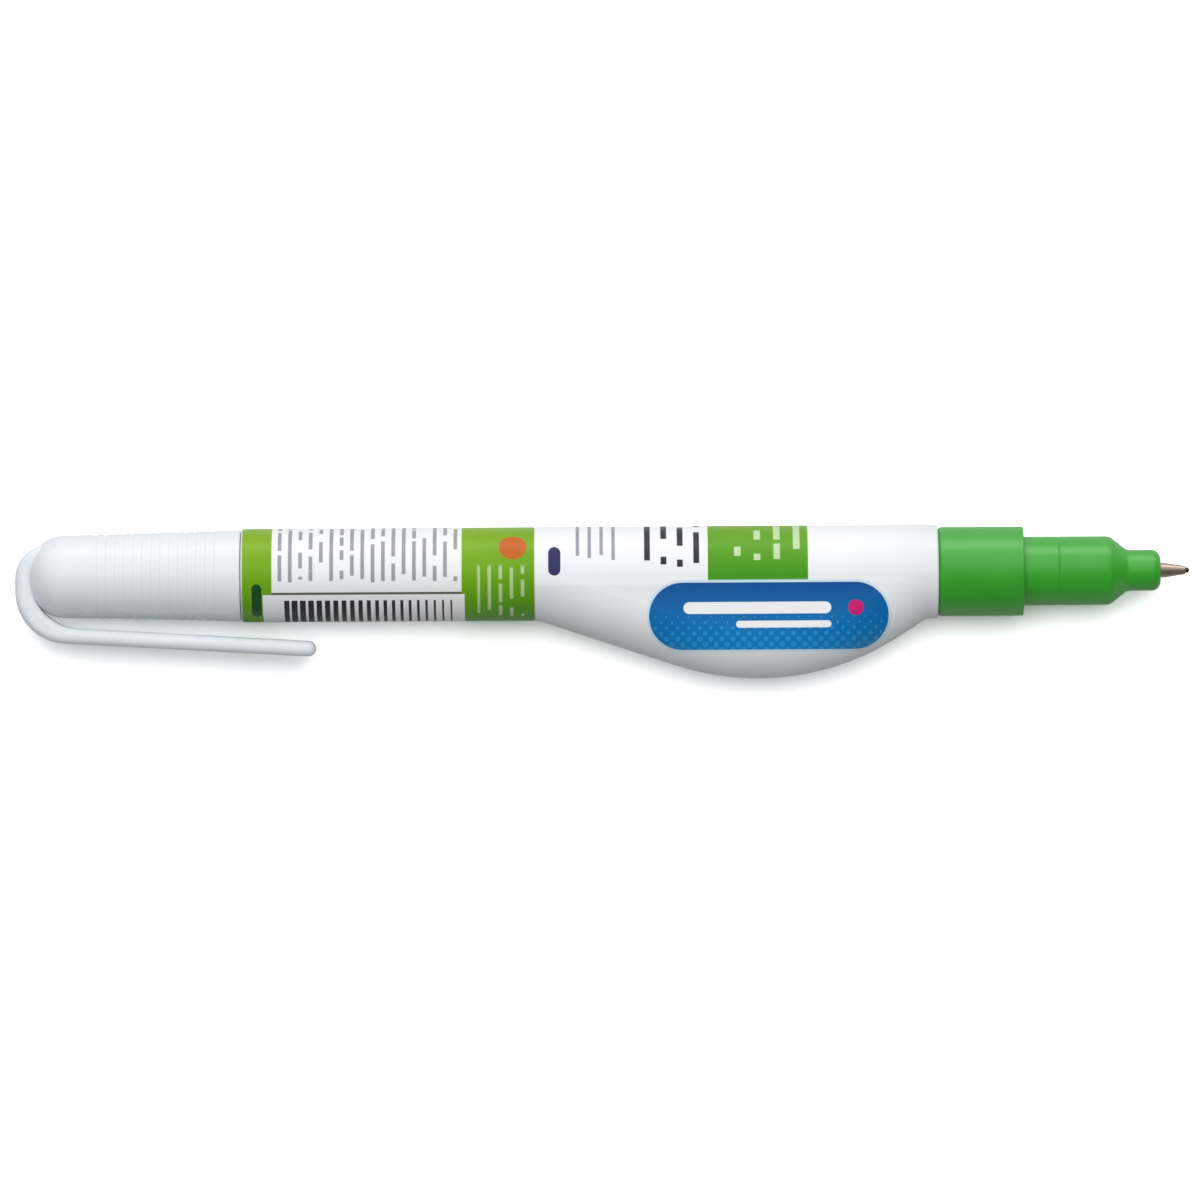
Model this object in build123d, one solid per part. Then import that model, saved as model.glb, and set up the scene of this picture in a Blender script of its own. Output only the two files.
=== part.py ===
from build123d import *
import math
import os

os.makedirs("parts", exist_ok=True)

# A squeeze correction pen, lying on its flank with the cap pushed on its tail end.
# Millimetres. X runs along the pen towards the writing tip and Z is up. The belly and the
# clip point to -Y. The origin is on the pen's axis, in the front face of the collar.

# Shared fits
cut_overrun = 1.0              # how far a cut runs past an open face
slip_gap = 0.05                # radial gap of pieces that slip into each other
stop_gap = 0.1                 # gap where a moving piece stops against a fixed one

# Barrel, a blow moulded squeeze bottle
barrel_dia = 11.5
barrel_length = 85.1
barrel_wall = 0.8
barrel_end_round = 0.3         # round of the two outer end edges
tail_round = 1.8               # round of the closed tail end
neck_wall = 1.0

# Belly, the lobe that the thumb presses, given by the line that its round edge follows
belly_depth = 7.2              # how far the crown stands out under the round barrel
belly_front_ramp_deg = 33.0
belly_rear_ramp_deg = 18.4
belly_crown_round = 32.0       # outer radius of the crown between the ramps
belly_front_foot_round = 1.0   # outer hollow radius at the foot of the front ramp
belly_rear_foot_round = 2.0    # outer hollow radius at the foot of the rear ramp
belly_front_land = 0.3         # round stretch of the inside in front of the belly

# Printed label film, let into the barrel
label_recess = 0.15
label_film = 0.12
label_margin = 0.2             # bare barrel behind and in front of the film

# Collar, the ring that clamps the nozzle on the neck
collar_length = 10.45
collar_wall = 0.75
collar_lip = 2.0               # front wall over the nozzle's flange
collar_rear_round = 0.5
collar_front_round = 0.2

# Nozzle with its nose; the cap fits its round stretch and the barrel's tail alike
nozzle_dia = 8.4
nozzle_length = 10.6           # round stretch in front of the collar
nozzle_shoulder_length = 2.1
nozzle_shoulder_round = 1.5
nose_dia = 5.0
nose_length = 4.1
nose_root_round = 1.0
nose_end_round = 1.1
seam_place = 4.3               # fine ring groove, in front of the collar
seam_half_width = 0.15
seam_depth = 0.07
nozzle_relief = 0.2            # radial undercut of the nozzle below the collar's lip
flange_overhang = 0.45
flange_thickness = 1.2
gasket_thickness = 0.6
spigot_length = 4.6            # behind the flange
spigot_wall = 0.9              # round the chamber that holds the valve
chamber_front_wall = 0.8       # behind the start of the shoulder

# Metal writing tip
tip_length = 3.05
tip_land = 0.5                 # round stretch before the taper
tip_rim = 0.12                 # wall round the orifice at the very end
tip_rim_round_share = 0.6
tip_shank_length = 5.0
tip_shank_wall = 0.25
tip_shank_step = 0.1           # radial step between base and shank
tip_bore_dia = 1.1
orifice_length = 1.6
seat_length = 0.4              # cone between bore and orifice

# Valve needle and its carrier
needle_pin_dia = 0.7
needle_proud = 0.5             # past the end of the metal tip
needle_pin_round_share = 0.95
needle_pin_gap = 0.06          # radial, in the orifice
needle_stem_gap = 0.17         # radial, in the bore of the tip
carrier_length = 3.0
carrier_play = 0.2             # radial, in the chamber
carrier_front_gap = 0.5
carrier_floor = 0.8            # behind the needle's root
carrier_stem_length = 1.8
carrier_edge_round = 0.3
carrier_flutes = 4
flute_dia = 1.3

# Coil spring behind the carrier, and the perforated plug that it stands on
spring_wire = 0.35
spring_turns = 9
spring_play = 0.3              # radial, from the wire to the chamber's wall
spring_stem_gap = 0.5          # radial, from the wire to the two centring stems
spring_seat_gap = 0.02
retainer_depth = 2.4
retainer_rim_thickness = 0.8
retainer_rim_overhang = 0.5
retainer_stem_length = 1.8
retainer_holes = 3
flow_hole_dia = 0.8

# Steel ball that stirs the fluid
ball_dia = 4.0
ball_gap = 0.1                 # over the inner wall that it lies on
ball_place = 34.0              # behind the front of the barrel

# Cap
cap_wall = 0.95
cap_end_wall = 1.2
cap_draft_deg = 1.5
cap_dome_round = 4.2
cap_inner_round = 3.0
cap_mouth_round = 0.25
cap_tip_room = 4.3             # free depth past the needle when the cap covers the tip
cap_ribs = 6
cap_rib_height = 0.4           # at the mouth
cap_rib_width = 0.8
cap_rib_setback = 0.8
cap_rib_length = 5.6
cap_free_room = 4.8            # between the tail and the liner
ring_count = 14
ring_pitch = 1.1
ring_first = 3.4               # from the mouth to the first grip ring
ring_cut_radius = 0.6
ring_depth = 0.1

# Soft liner in the cap's closed end, which seals round the nose
liner_lead = 0.5               # from the root of the nose to the mouth of the liner
liner_gap = 0.03
liner_mouth_chamfer = 0.4
liner_well_dia = 3.2
liner_tip_room = 0.6

# Clip, a bar in one piece with the cap, bent round its closed end
clip_thickness = 1.9
clip_width = 4.6
clip_gap = 1.95                # from the cap to the bar, at the mouth
clip_splay_deg = 3.4
clip_reach = 9.1               # past the mouth
clip_bend_outer = 5.4          # the bar's corner is thicker, so its inner side bends on a wider line
clip_strap_flat = 0.1249       # what the root's bend and that wider bend leave straight between them
clip_root = 3.0                # where the bar starts, over the axis
clip_root_run = 2.6            # along the cap, from its end to the start of the bar
clip_root_bend = 3.2
clip_sink = 0.2                # into the cap's end wall
clip_edge_round = 0.9

# Radii that follow from the sizes above
barrel_r = barrel_dia / 2
nozzle_r = nozzle_dia / 2
flange_r = nozzle_r + flange_overhang
collar_bore_r = flange_r + slip_gap
collar_r = collar_bore_r + collar_wall
neck_r = flange_r
neck_bore_r = neck_r - neck_wall
spigot_r = neck_bore_r - slip_gap
nose_r = nose_dia / 2
chamber_r = spigot_r - spigot_wall
tip_bore_r = tip_bore_dia / 2
shank_r = tip_bore_r + tip_shank_wall
tip_base_r = shank_r + tip_shank_step
needle_pin_r = needle_pin_dia / 2
needle_stem_r = tip_bore_r - needle_stem_gap
orifice_r = needle_pin_r + needle_pin_gap
spring_r = chamber_r - spring_play - spring_wire / 2
stem_r = spring_r - spring_wire / 2 - spring_stem_gap
tail_r = nozzle_r
cap_mouth_r = nozzle_r + slip_gap + cap_rib_height + cap_wall

# Places along the axis that follow from the sizes above
barrel_front = -collar_length
barrel_rear = barrel_front - barrel_length
flange_front = -collar_lip
flange_rear = flange_front - flange_thickness
neck_end = flange_rear - gasket_thickness
spigot_end = flange_rear - spigot_length
chamber_end = nozzle_length - chamber_front_wall
nose_start = nozzle_length + nozzle_shoulder_length
nose_end = nose_start + nose_length
tip_end = nose_end + tip_length
needle_end = tip_end + needle_proud
shank_end = nose_end - tip_shank_length
seat_front = tip_end - orifice_length
seat_rear = seat_front - seat_length
carrier_front = chamber_end - carrier_front_gap
carrier_rear = carrier_front - carrier_length
retainer_front = spigot_end + retainer_depth
liner_depth = nose_start + liner_lead
tail_length = liner_depth - cap_free_room
tail_end = barrel_rear - tail_length
cap_length = needle_end + cap_tip_room + cap_end_wall
cap_mouth = barrel_rear - stop_gap
cap_end = cap_mouth - cap_length

# The line of the belly's round edge: two feet on the axis and, under it, the corner where the
# straight ramps would meet
front_ramp = math.radians(belly_front_ramp_deg)
rear_ramp = math.radians(belly_rear_ramp_deg)
front_foot_turn = belly_front_foot_round + barrel_r
rear_foot_turn = belly_rear_foot_round + barrel_r
crown_turn = belly_crown_round - barrel_r
crown_stretch = math.cos((front_ramp - rear_ramp) / 2) / math.cos((front_ramp + rear_ramp) / 2)
corner_depth = belly_depth + crown_turn * (crown_stretch - 1)
front_foot_run = front_foot_turn * math.tan(front_ramp / 2)
rear_foot_run = rear_foot_turn * math.tan(rear_ramp / 2)
front_foot_x = barrel_front - barrel_wall - belly_front_land - front_foot_run
corner_x = front_foot_x - corner_depth / math.tan(front_ramp)
rear_foot_x = corner_x - corner_depth / math.tan(rear_ramp)
label_rear = barrel_rear + label_margin
label_front = rear_foot_x - rear_foot_run - label_margin
label_seat_r = barrel_r - label_recess


def turned(*corners):
    """Solid turned about the axis from the corners (x, radius, rounding) of its half section."""
    points = [(x, radius) for x, radius, rounding in corners]
    rounds = [rounding for x, radius, rounding in corners]
    return revolve(make_face(FilletPolyline(*points, radius=rounds, close=True)), Axis.X)


def ring(start_x, end_x, inner_r, outer_r):
    """Plain tube about the axis, or a rod where the inner radius is zero."""
    return turned((start_x, inner_r, 0), (start_x, outer_r, 0), (end_x, outer_r, 0), (end_x, inner_r, 0))


def along_axis(x, shape):
    """A shape made about Z, turned to lie about the pen's axis at x."""
    return Pos(x, 0, 0) * Rot(0, 90, 0) * shape


def about_axis(count, shape):
    """Copies of a shape, spread evenly about the pen's axis."""
    return [Rot(360 * number / count, 0, 0) * shape for number in range(count)]


def lobed_body(radius, rear_x, front_x):
    """Round body with the belly: what lies between a straight rod and a rod along the belly line.

    The flanks of the belly are true planes and its edge is a bent half round, so the faces are
    made one by one and sewn.
    """
    feet = ((rear_foot_x, 0), (corner_x, -corner_depth), (front_foot_x, 0))
    turns = (rear_foot_turn, crown_turn, front_foot_turn)
    belly_line = FilletPolyline((rear_x, 0), *feet, (front_x, 0), radius=turns)
    runs = belly_line.edges().sort_by(Axis.X)
    belly_start = runs[0] @ 1
    belly_stop = runs[-1] @ 0
    straight_line = Polyline((rear_x, 0), belly_start, belly_stop, (front_x, 0))

    top = (rear_x, 0, radius)
    bottom = (rear_x, 0, -radius)
    belly_half = ThreePointArc(top, (rear_x, -radius, 0), bottom)
    back_half = ThreePointArc(top, (rear_x, radius, 0), bottom)
    to_front = Pos(front_x - rear_x, 0, 0)

    flank = Face(Wire([*runs[1:-1], Edge.make_line(belly_stop, belly_start)]))
    faces = [
        *sweep(belly_half, belly_line).faces(),
        *sweep(back_half, straight_line).faces(),
        Pos(0, 0, radius) * flank,
        Pos(0, 0, -radius) * flank,
        Face(Wire([belly_half, back_half])),
        Face(Wire([to_front * belly_half, to_front * back_half])),
    ]
    return Solid(Shell(faces))


def barrel():
    """Squeeze bottle with its belly, the open neck for the collar and the closed tail for the cap."""
    body = lobed_body(barrel_r, barrel_rear, barrel_front)
    ends = body.edges().filter_by(GeomType.CIRCLE).group_by(Axis.X)
    body = fillet([*ends[0], *ends[-1]], barrel_end_round)
    tail = turned(
        (tail_end, 0, 0),
        (tail_end, tail_r, tail_round),
        (barrel_rear + barrel_wall, tail_r, 0),
        (barrel_rear + barrel_wall, 0, 0),
    )
    neck = ring(barrel_front - barrel_wall, neck_end, 0, neck_r)
    inside = lobed_body(barrel_r - barrel_wall, barrel_rear + barrel_wall, barrel_front - barrel_wall)
    tail_inside = turned(
        (tail_end + barrel_wall, 0, 0),
        (tail_end + barrel_wall, tail_r - barrel_wall, tail_round - barrel_wall),
        (barrel_rear + barrel_wall + cut_overrun, tail_r - barrel_wall, 0),
        (barrel_rear + barrel_wall + cut_overrun, 0, 0),
    )
    neck_inside = ring(barrel_front - barrel_wall - cut_overrun, neck_end + cut_overrun, 0, neck_bore_r)
    label_seat = ring(
        label_rear - label_margin / 2, label_front + label_margin / 2, label_seat_r, barrel_r + cut_overrun
    )
    return body + tail + neck - inside - tail_inside - neck_inside - label_seat


def label_sleeve():
    """Thin printed film wrapped round the rear half of the barrel."""
    return ring(label_rear, label_front, label_seat_r, label_seat_r + label_film)


def front_collar():
    """Ring that draws the nozzle's flange and its gasket on the neck."""
    outside = turned(
        (barrel_front, 0, 0),
        (barrel_front, collar_r, collar_rear_round),
        (0, collar_r, collar_front_round),
        (0, 0, 0),
    )
    neck_room = ring(barrel_front - cut_overrun, flange_front, 0, collar_bore_r)
    nozzle_room = ring(flange_front - cut_overrun, cut_overrun, 0, nozzle_r + slip_gap)
    return outside - neck_room - nozzle_room


def nozzle():
    """Front moulding: spigot, flange, round stretch for the cap, shoulder and nose."""
    outside = turned(
        (spigot_end, 0, 0),
        (spigot_end, spigot_r, 0),
        (flange_rear, spigot_r, 0),
        (flange_rear, flange_r, 0),
        (flange_front, flange_r, 0),
        (flange_front, nozzle_r - nozzle_relief, 0),
        (0, nozzle_r - nozzle_relief, 0),
        (0, nozzle_r, 0),
        (nozzle_length, nozzle_r, nozzle_shoulder_round),
        (nose_start, nose_r, nose_root_round),
        (nose_end, nose_r, nose_end_round),
        (nose_end, 0, 0),
    )
    chamber = ring(spigot_end - cut_overrun, chamber_end, 0, chamber_r)
    tip_bore = ring(chamber_end - cut_overrun, nose_end + cut_overrun, 0, shank_r)
    seam = turned(
        (seam_place - seam_half_width, nozzle_r, 0),
        (seam_place, nozzle_r - seam_depth, 0),
        (seam_place + seam_half_width, nozzle_r, 0),
        (seam_place, nozzle_r + seam_depth, 0),
    )
    return outside - chamber - tip_bore - seam


def neck_gasket():
    """Flat washer between the nozzle's flange and the rim of the neck."""
    return ring(neck_end, flange_rear, spigot_r + slip_gap, flange_r)


def writing_tip():
    """Turned metal tip: shank in the nose, tapered end, and the seat of the needle inside."""
    outside = turned(
        (shank_end, 0, 0),
        (shank_end, shank_r, 0),
        (nose_end, shank_r, 0),
        (nose_end, tip_base_r, 0),
        (nose_end + tip_land, tip_base_r, 0),
        (tip_end, orifice_r + tip_rim, tip_rim * tip_rim_round_share),
        (tip_end, 0, 0),
    )
    passage = turned(
        (shank_end - cut_overrun, 0, 0),
        (shank_end - cut_overrun, tip_bore_r, 0),
        (seat_rear, tip_bore_r, 0),
        (seat_front, orifice_r, 0),
        (tip_end + cut_overrun, orifice_r, 0),
        (tip_end + cut_overrun, 0, 0),
    )
    return outside - passage


def valve_needle():
    """Steel needle whose pin closes the tip and is pushed in by the paper."""
    seat_slope = (tip_bore_r - orifice_r) / seat_length
    cone_length = (needle_stem_r - needle_pin_r) / seat_slope
    return turned(
        (carrier_rear + carrier_floor, 0, 0),
        (carrier_rear + carrier_floor, needle_stem_r, 0),
        (seat_front - cone_length, needle_stem_r, 0),
        (seat_front, needle_pin_r, 0),
        (needle_end, needle_pin_r, needle_pin_r * needle_pin_round_share),
        (needle_end, 0, 0),
    )


def needle_carrier():
    """Fluted plastic plunger that holds the needle and takes the push of the spring."""
    body_r = chamber_r - carrier_play
    body = turned(
        (carrier_rear - carrier_stem_length, 0, 0),
        (carrier_rear - carrier_stem_length, stem_r, carrier_edge_round),
        (carrier_rear, stem_r, 0),
        (carrier_rear, body_r, 0),
        (carrier_front, body_r, carrier_edge_round),
        (carrier_front, 0, 0),
    )
    body -= ring(carrier_rear + carrier_floor, carrier_front + cut_overrun, 0, needle_stem_r)
    flute = Cylinder(flute_dia / 2, carrier_length + cut_overrun * 2)
    middle = (carrier_front + carrier_rear) / 2
    return body - about_axis(carrier_flutes, Pos(0, body_r, 0) * along_axis(middle, flute))


def biarc(start, start_way, end, end_way):
    """Two arcs that leave start and reach end along the given ways and meet smoothly."""
    step = end - start
    ways = start_way + end_way
    spread = 2 * (1 - start_way.dot(end_way))
    lean = 2 * step.dot(ways)
    reach = (math.sqrt(lean * lean + 4 * spread * step.dot(step)) - lean) / (2 * spread)
    first_corner = start + start_way * reach
    last_corner = end - end_way * reach
    middle = (first_corner + last_corner) / 2
    middle_way = (last_corner - first_corner).normalized()
    return TangentArc(start, middle, tangent=start_way), TangentArc(middle, end, tangent=middle_way)


def needle_spring():
    """Compression spring between the plug and the carrier, wound in quarter turns."""
    first_x = retainer_front + spring_seat_gap + spring_wire / 2
    last_x = carrier_rear - spring_seat_gap - spring_wire / 2
    quarters = spring_turns * 4
    rise = (last_x - first_x) / quarters
    points = []
    ways = []
    for quarter in range(quarters + 1):
        turn = math.radians(quarter * 90)
        across = Vector(0, math.cos(turn), math.sin(turn))
        round_way = Vector(0, -math.sin(turn), math.cos(turn))
        points.append(Vector(first_x + rise * quarter, 0, 0) + across * spring_r)
        ways.append((Vector(rise, 0, 0) + round_way * (spring_r * math.pi / 2)).normalized())
    arcs = []
    for quarter in range(quarters):
        arcs += biarc(points[quarter], ways[quarter], points[quarter + 1], ways[quarter + 1])
    turn_steps = [(points[place + 4] - points[place]).length for place in range(quarters - 3)]
    print("spring: least gap between turns", round(min(turn_steps) - spring_wire, 3))
    wire_end = Plane(points[0], z_dir=ways[0]) * Circle(spring_wire / 2)
    return sweep(wire_end, Wire(arcs))


def spring_retainer():
    """Plug pressed into the spigot: spring seat, centring stem and holes for the fluid."""
    plug = turned(
        (spigot_end - retainer_rim_thickness, 0, 0),
        (spigot_end - retainer_rim_thickness, chamber_r + retainer_rim_overhang, carrier_edge_round),
        (spigot_end, chamber_r + retainer_rim_overhang, 0),
        (spigot_end, chamber_r, 0),
        (retainer_front, chamber_r, 0),
        (retainer_front, stem_r, 0),
        (retainer_front + retainer_stem_length, stem_r, carrier_edge_round),
        (retainer_front + retainer_stem_length, 0, 0),
    )
    hole = Cylinder(flow_hole_dia / 2, retainer_depth + retainer_rim_thickness + cut_overrun * 2)
    middle = (spigot_end - retainer_rim_thickness + retainer_front) / 2
    hole = Pos(0, (stem_r + chamber_r) / 2, 0) * along_axis(middle, hole)
    return plug - about_axis(retainer_holes, hole)


def mixing_ball():
    """Loose ball on the inside of the lower flank."""
    rest_z = -(barrel_r - barrel_wall) + ball_gap + ball_dia / 2
    return Pos(barrel_front - ball_place, 0, rest_z) * Sphere(ball_dia / 2)


def cap_radius(x, inset):
    """Radius of the tapered cap at x, less an inset measured across the wall."""
    draft = math.radians(cap_draft_deg)
    return cap_mouth_r - (cap_mouth - x) * math.tan(draft) - inset / math.cos(draft)


def cap_inside(mouth_x, inset):
    """What fills the cap's hollow from its end wall to mouth_x."""
    floor_x = cap_end + cap_end_wall
    return turned(
        (floor_x, 0, 0),
        (floor_x, cap_radius(floor_x, inset), cap_inner_round),
        (mouth_x, cap_radius(mouth_x, inset), 0),
        (mouth_x, 0, 0),
    )


def clip_bar():
    """Bar bent from the closed end to a splayed arm beside the cap and the barrel."""
    splay = math.radians(clip_splay_deg)
    arm_at_mouth = cap_mouth_r + clip_gap + clip_thickness / 2 / math.cos(splay)

    def arm_point(x):
        return (x, -arm_at_mouth - (x - cap_mouth) * math.tan(splay))

    end_x = cap_mouth + clip_reach - clip_thickness / 2
    strap_x = cap_end + clip_sink - clip_thickness / 2
    start = (cap_end + clip_root_run, clip_root)
    strap_start = (strap_x, clip_root)
    strap_end = arm_point(strap_x)
    bend_room = strap_start[1] - strap_end[1] - clip_root_bend - clip_strap_flat
    bend_inner = bend_room / math.tan((math.pi / 2 - splay) / 2)
    corners = (start, strap_start, strap_end, arm_point(end_x))
    outer_line = FilletPolyline(*corners, radius=(clip_root_bend, clip_bend_outer))
    inner_line = FilletPolyline(*corners, radius=(clip_root_bend, bend_inner))
    outer_side = make_face(offset(outer_line, clip_thickness / 2))
    inner_side = make_face(offset(inner_line, clip_thickness / 2))
    bar = extrude(outer_side + inner_side, clip_width / 2, both=True)
    return fillet(bar.faces().filter_by(Axis.Z).edges(), clip_edge_round)


def cap():
    """Drafted cap with grip rings outside, gripping ribs inside, and the clip."""
    shell = turned(
        (cap_end, 0, 0),
        (cap_end, cap_radius(cap_end, 0), cap_dome_round),
        (cap_mouth, cap_mouth_r, cap_mouth_round),
        (cap_mouth, 0, 0),
    )
    shell += clip_bar()
    shell -= cap_inside(cap_mouth + cut_overrun, cap_wall)
    for number in range(ring_count):
        ring_x = cap_mouth - ring_first - number * ring_pitch
        cut_r = cap_radius(ring_x, 0) + ring_cut_radius - ring_depth
        shell -= along_axis(ring_x, Torus(cut_r, ring_cut_radius))
    rib_r = nozzle_r + slip_gap
    rib_depth = cap_rib_height + cap_wall / 2
    rib = Box(cap_rib_length, rib_depth, cap_rib_width, align=(Align.MAX, Align.MIN, Align.CENTER))
    return shell + about_axis(cap_ribs, Pos(cap_mouth - cap_rib_setback, rib_r, 0) * rib)


def cap_liner():
    """Soft plug in the cap's closed end, bored for the nose and the metal tip."""
    mouth_x = cap_mouth - liner_depth
    nose_stop = cap_mouth - nose_end - stop_gap
    well_end = cap_mouth - needle_end - liner_tip_room
    bore_r = nose_r + slip_gap
    bore = turned(
        (mouth_x + cut_overrun, 0, 0),
        (mouth_x + cut_overrun, bore_r + liner_mouth_chamfer + cut_overrun, 0),
        (mouth_x - liner_mouth_chamfer, bore_r, 0),
        (nose_stop, bore_r, 0),
        (nose_stop, liner_well_dia / 2, 0),
        (well_end, liner_well_dia / 2, 0),
        (well_end, 0, 0),
    )
    return cap_inside(mouth_x, cap_wall + liner_gap) - bore


pieces = {
    "barrel": barrel,
    "label_sleeve": label_sleeve,
    "front_collar": front_collar,
    "nozzle": nozzle,
    "neck_gasket": neck_gasket,
    "writing_tip": writing_tip,
    "valve_needle": valve_needle,
    "needle_carrier": needle_carrier,
    "needle_spring": needle_spring,
    "spring_retainer": spring_retainer,
    "mixing_ball": mixing_ball,
    "cap": cap,
    "cap_liner": cap_liner,
}
for name, make in pieces.items():
    export_step(make(), os.path.join("parts", name + ".step"))
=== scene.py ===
import math

import bmesh
import bpy
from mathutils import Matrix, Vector


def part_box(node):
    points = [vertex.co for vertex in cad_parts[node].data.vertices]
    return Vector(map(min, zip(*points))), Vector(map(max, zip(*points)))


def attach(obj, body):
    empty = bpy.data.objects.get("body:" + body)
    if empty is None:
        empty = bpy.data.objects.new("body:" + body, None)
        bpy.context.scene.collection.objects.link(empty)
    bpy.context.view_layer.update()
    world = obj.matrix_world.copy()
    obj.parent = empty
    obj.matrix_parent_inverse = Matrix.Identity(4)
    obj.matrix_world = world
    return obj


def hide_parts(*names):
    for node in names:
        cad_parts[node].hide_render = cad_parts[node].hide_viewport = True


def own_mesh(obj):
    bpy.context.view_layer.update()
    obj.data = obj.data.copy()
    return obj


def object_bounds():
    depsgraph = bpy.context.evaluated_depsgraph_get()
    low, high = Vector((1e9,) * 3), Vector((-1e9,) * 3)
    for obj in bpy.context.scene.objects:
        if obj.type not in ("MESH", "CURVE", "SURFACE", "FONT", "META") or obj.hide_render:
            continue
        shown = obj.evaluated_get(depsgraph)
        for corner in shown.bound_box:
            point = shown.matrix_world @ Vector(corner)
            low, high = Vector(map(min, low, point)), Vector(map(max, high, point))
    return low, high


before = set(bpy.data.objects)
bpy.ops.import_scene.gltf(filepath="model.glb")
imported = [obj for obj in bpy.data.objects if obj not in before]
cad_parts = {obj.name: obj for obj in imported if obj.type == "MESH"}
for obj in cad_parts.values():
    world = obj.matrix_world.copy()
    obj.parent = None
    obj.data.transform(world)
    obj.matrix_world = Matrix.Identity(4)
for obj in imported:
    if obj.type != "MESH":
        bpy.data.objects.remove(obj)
cad_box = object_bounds()

# Looks of a squeeze correction pen that lies on its flank on a white table.
# Sizes are in millimetres here; Blender works in metres.
MM = 0.001

# What the picture takes in, and where the camera stands over the pen
PICTURE_WIDTH = 146.8            # across the picture, at the height of the pen's axis
PICTURE_ROLL = math.radians(-0.34)
AIM_OFFSET = (-0.33, 0.35)       # from the middle of the pen's box
CAMERA_HEIGHT = 1200

# Places that the print follows, taken from the frame
BARREL_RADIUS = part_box("barrel")[1].z / MM
FILM_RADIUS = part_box("label_sleeve")[1].z / MM
FILM_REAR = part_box("label_sleeve")[0].x / MM
FILM_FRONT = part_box("label_sleeve")[1].x / MM
FLOOR_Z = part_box("barrel")[0].z / MM
PAST_BACK = BARREL_RADIUS * 2    # a place beyond the back of the barrel

# Edges of the print, and the breaks in its dashes
EDGE_SOFT = 0.06                 # width over which a printed edge fades
DASH_SOFT = 0.1                  # the same at the long sides of a dash
DASH_BREAK = (0.38, 0.40)        # level of the noise below which a dash has a gap
DASH_SHUFFLE = 7.31              # way through the noise from one row to the next

# Green bands and white panel of the film round the rear half of the barrel.
# Angles are in degrees round the axis, from straight up towards the belly.
REAR_BAND_WIDTH = 3.6
PANEL_FRONT = -68.6
PANEL_MARGIN = 0.35              # white rim round the rows of dashes
FILM_PAINTED_SHADE_ANGLES = (-50.0, 100.0)  # where the painted shade starts to deepen the green, and where it is deepest
FILM_PAINTED_SHADE_DEPTH = 0.85          # share of the painted shade there
FILM_FRONT_DEPTH = 0.2           # how much the green deepens towards the front edge, added to that share
FILM_ROWS = {"pitch": 1.26, "width": 0.46, "dash": 2.0, "end": 0.95, "ragged": 0.5, "seed": 11.0}
FILM_ROWS_ANGLES = (-150.0, 60.0)
FILM_ROWS_SOFT = 1.0

# Rule under the rows, and the strip of bars under the rule
RULE_ANGLES = (21.9, 25.1)
RULE_SOFT = 0.6
STRIP_ANGLES = (33.0, 104.0)
STRIP_GROUND_END = 150.0         # angle at which the white under the bars ends
STRIP_SOFT = 0.8
STRIP_PITCH = 1.02
STRIP_SHARES = (0.82, 0.16)      # inked share of the pitch, at the rear and the front end
STRIP_LEAD = 1.1                 # white behind the strip, past the end of the rule
STRIP_MARGINS = (1.5, 0.5)       # from the panel's rear and front edges to the bars

# Strokes, bar and spot on the green of the film
FILM_STROKES = {"pitch": 1.35, "width": 0.42, "dash": 2.4, "end": 7.0, "ragged": 1.0, "seed": 3.0}
FILM_STROKES_MARGINS = (1.9, 0.7)  # from the block's rear and front edges
FILM_STROKES_ROUND = (-1.0, 8.0)   # round the axis, from straight up
FILM_STROKES_SOFT = 0.5
FILM_STROKES_COVER = 0.75        # share of the pale ink over the green
BAR_CENTRE = (1.75, 3.6)         # from the film's rear edge, and round the axis from straight up
BAR_HALF = (0.6, 2.5)
AMBER_CENTRE = (-2.6, -3.5)      # from the film's front edge, and round the axis from straight up
AMBER_RADIUS = 1.7

# Print on the barrel
PARTING_WIDTH = 0.14             # line that the two halves of the mould leave
PARTING_HEIGHT = 0.05
PARTING_STRENGTH = 0.8
WHITE_FADE = (-22.0, -12.0)      # where the white print thins out
WHITE_EDGE_Y = -1.4              # lower edge of the white print, on the flank
WHITE_EDGE_SOFT = 0.2
TABLET_CENTRE = (-57.3, 1.5)
TABLET_HALF = (0.75, 1.75)
FINE_STRETCH = (-55.2, -49.4)
FINE_ROWS = {"pitch": 1.45, "width": 0.42, "dash": 2.8, "end": -0.9, "ragged": 2.0, "seed": 8.0}
BOLD_STRETCH = (-47.0, -39.0)
BOLD_ROWS = {"pitch": 2.0, "width": 0.72, "dash": 2.8, "end": -0.1, "ragged": 2.6, "seed": 21.0}
BLOCK_REAR = -38.6
BLOCK_FRONT = -26.4
BLOCK_SHADE_ANGLES = (-90.0, 10.0)     # where the painted shade starts to deepen the block's green, and where it is deepest
# Share of the painted shade at those two angles
BLOCK_SHADE_DEPTHS = (0.25, 1.0)
BLOCK_STROKES = {"pitch": 2.4, "width": 0.8, "dash": 3.0, "end": -0.6, "ragged": 1.6, "seed": 5.0}
BLOCK_STROKES_MARGIN = 2.4       # plain green at the block's rear edge
FIELD_CENTRE = (-31.2, -5.3)
FIELD_HALF = (14.6, 4.1)
FIELD_RIM = 0.32
FIELD_RIM_SOFT = 0.2
STROKE_CENTRE = (-32.6, -4.3)
STROKE_HALF = (9.0, 0.72)
SHORT_STROKE_CENTRE = (-29.4, -6.3)
SHORT_STROKE_HALF = (5.8, 0.42)
SPOT_CENTRE = (-20.6, -4.3)
SPOT_RADIUS = 0.95
DOT_PITCH = 0.95
DOT_START = 0.35                 # share of the way down the field at which the dots begin
DOT_LARGEST = 0.42               # radius at the lower edge, as a share of the pitch

# Coil spring inside the nozzle
SPRING_WIRE = 0.35
SPRING_TURNS = 9
TURN_STEPS = 24
WIRE_SIDES = 12

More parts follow.
